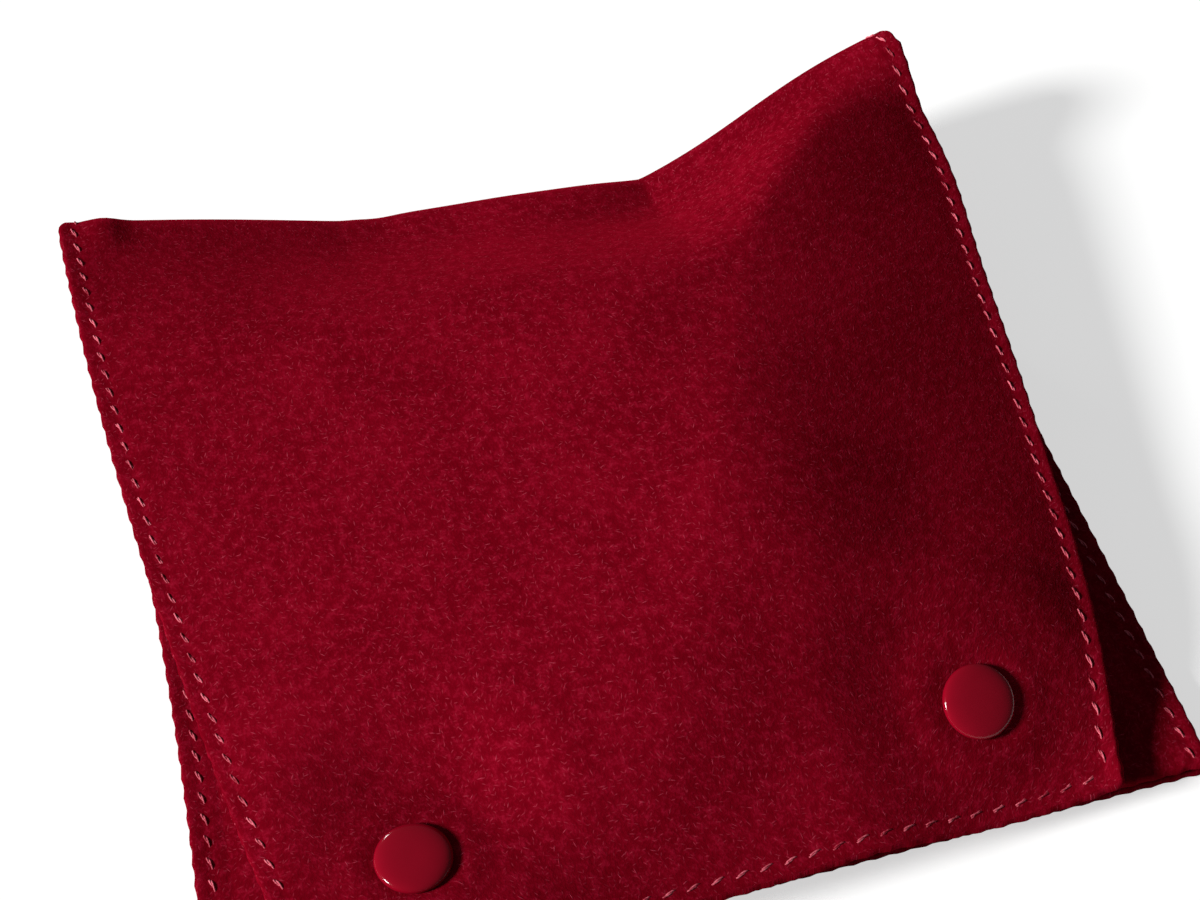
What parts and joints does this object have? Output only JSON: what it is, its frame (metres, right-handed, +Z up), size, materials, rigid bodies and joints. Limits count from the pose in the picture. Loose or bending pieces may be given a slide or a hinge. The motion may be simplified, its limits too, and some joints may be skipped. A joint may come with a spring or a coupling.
{
  "type": "flap pouch",
  "caption": "Square soft suede pouch with a full-length flap closed by enamelled press studs, lying on its back, for jewellery or other small things.",
  "frame": {"origin": "on the underside of the back panel, at mid width and midway between the bottom seam and the fold", "axes": "+Z up, away from the surface that the pouch lies on; +Y towards the fold of the flap; +X across the width"},
  "size_m": [0.1365, 0.136, 0.0248],
  "materials": {
    "suede": "napped, matte",
    "cap_enamel": "gloss",
    "stud_steel": "satin"
  },
  "bodies": {
    "root": {"back_flap_panel": "suede", "front_panel": "suede", "left_cap": "cap_enamel", "left_socket": "stud_steel", "left_socket_spring": "stud_steel", "left_stud": "stud_steel", "left_stud_rivet": "stud_steel", "right_cap": "cap_enamel", "right_socket": "stud_steel", "right_socket_spring": "stud_steel", "right_stud": "stud_steel", "right_stud_rivet": "stud_steel"}
  },
  "joints": []
}
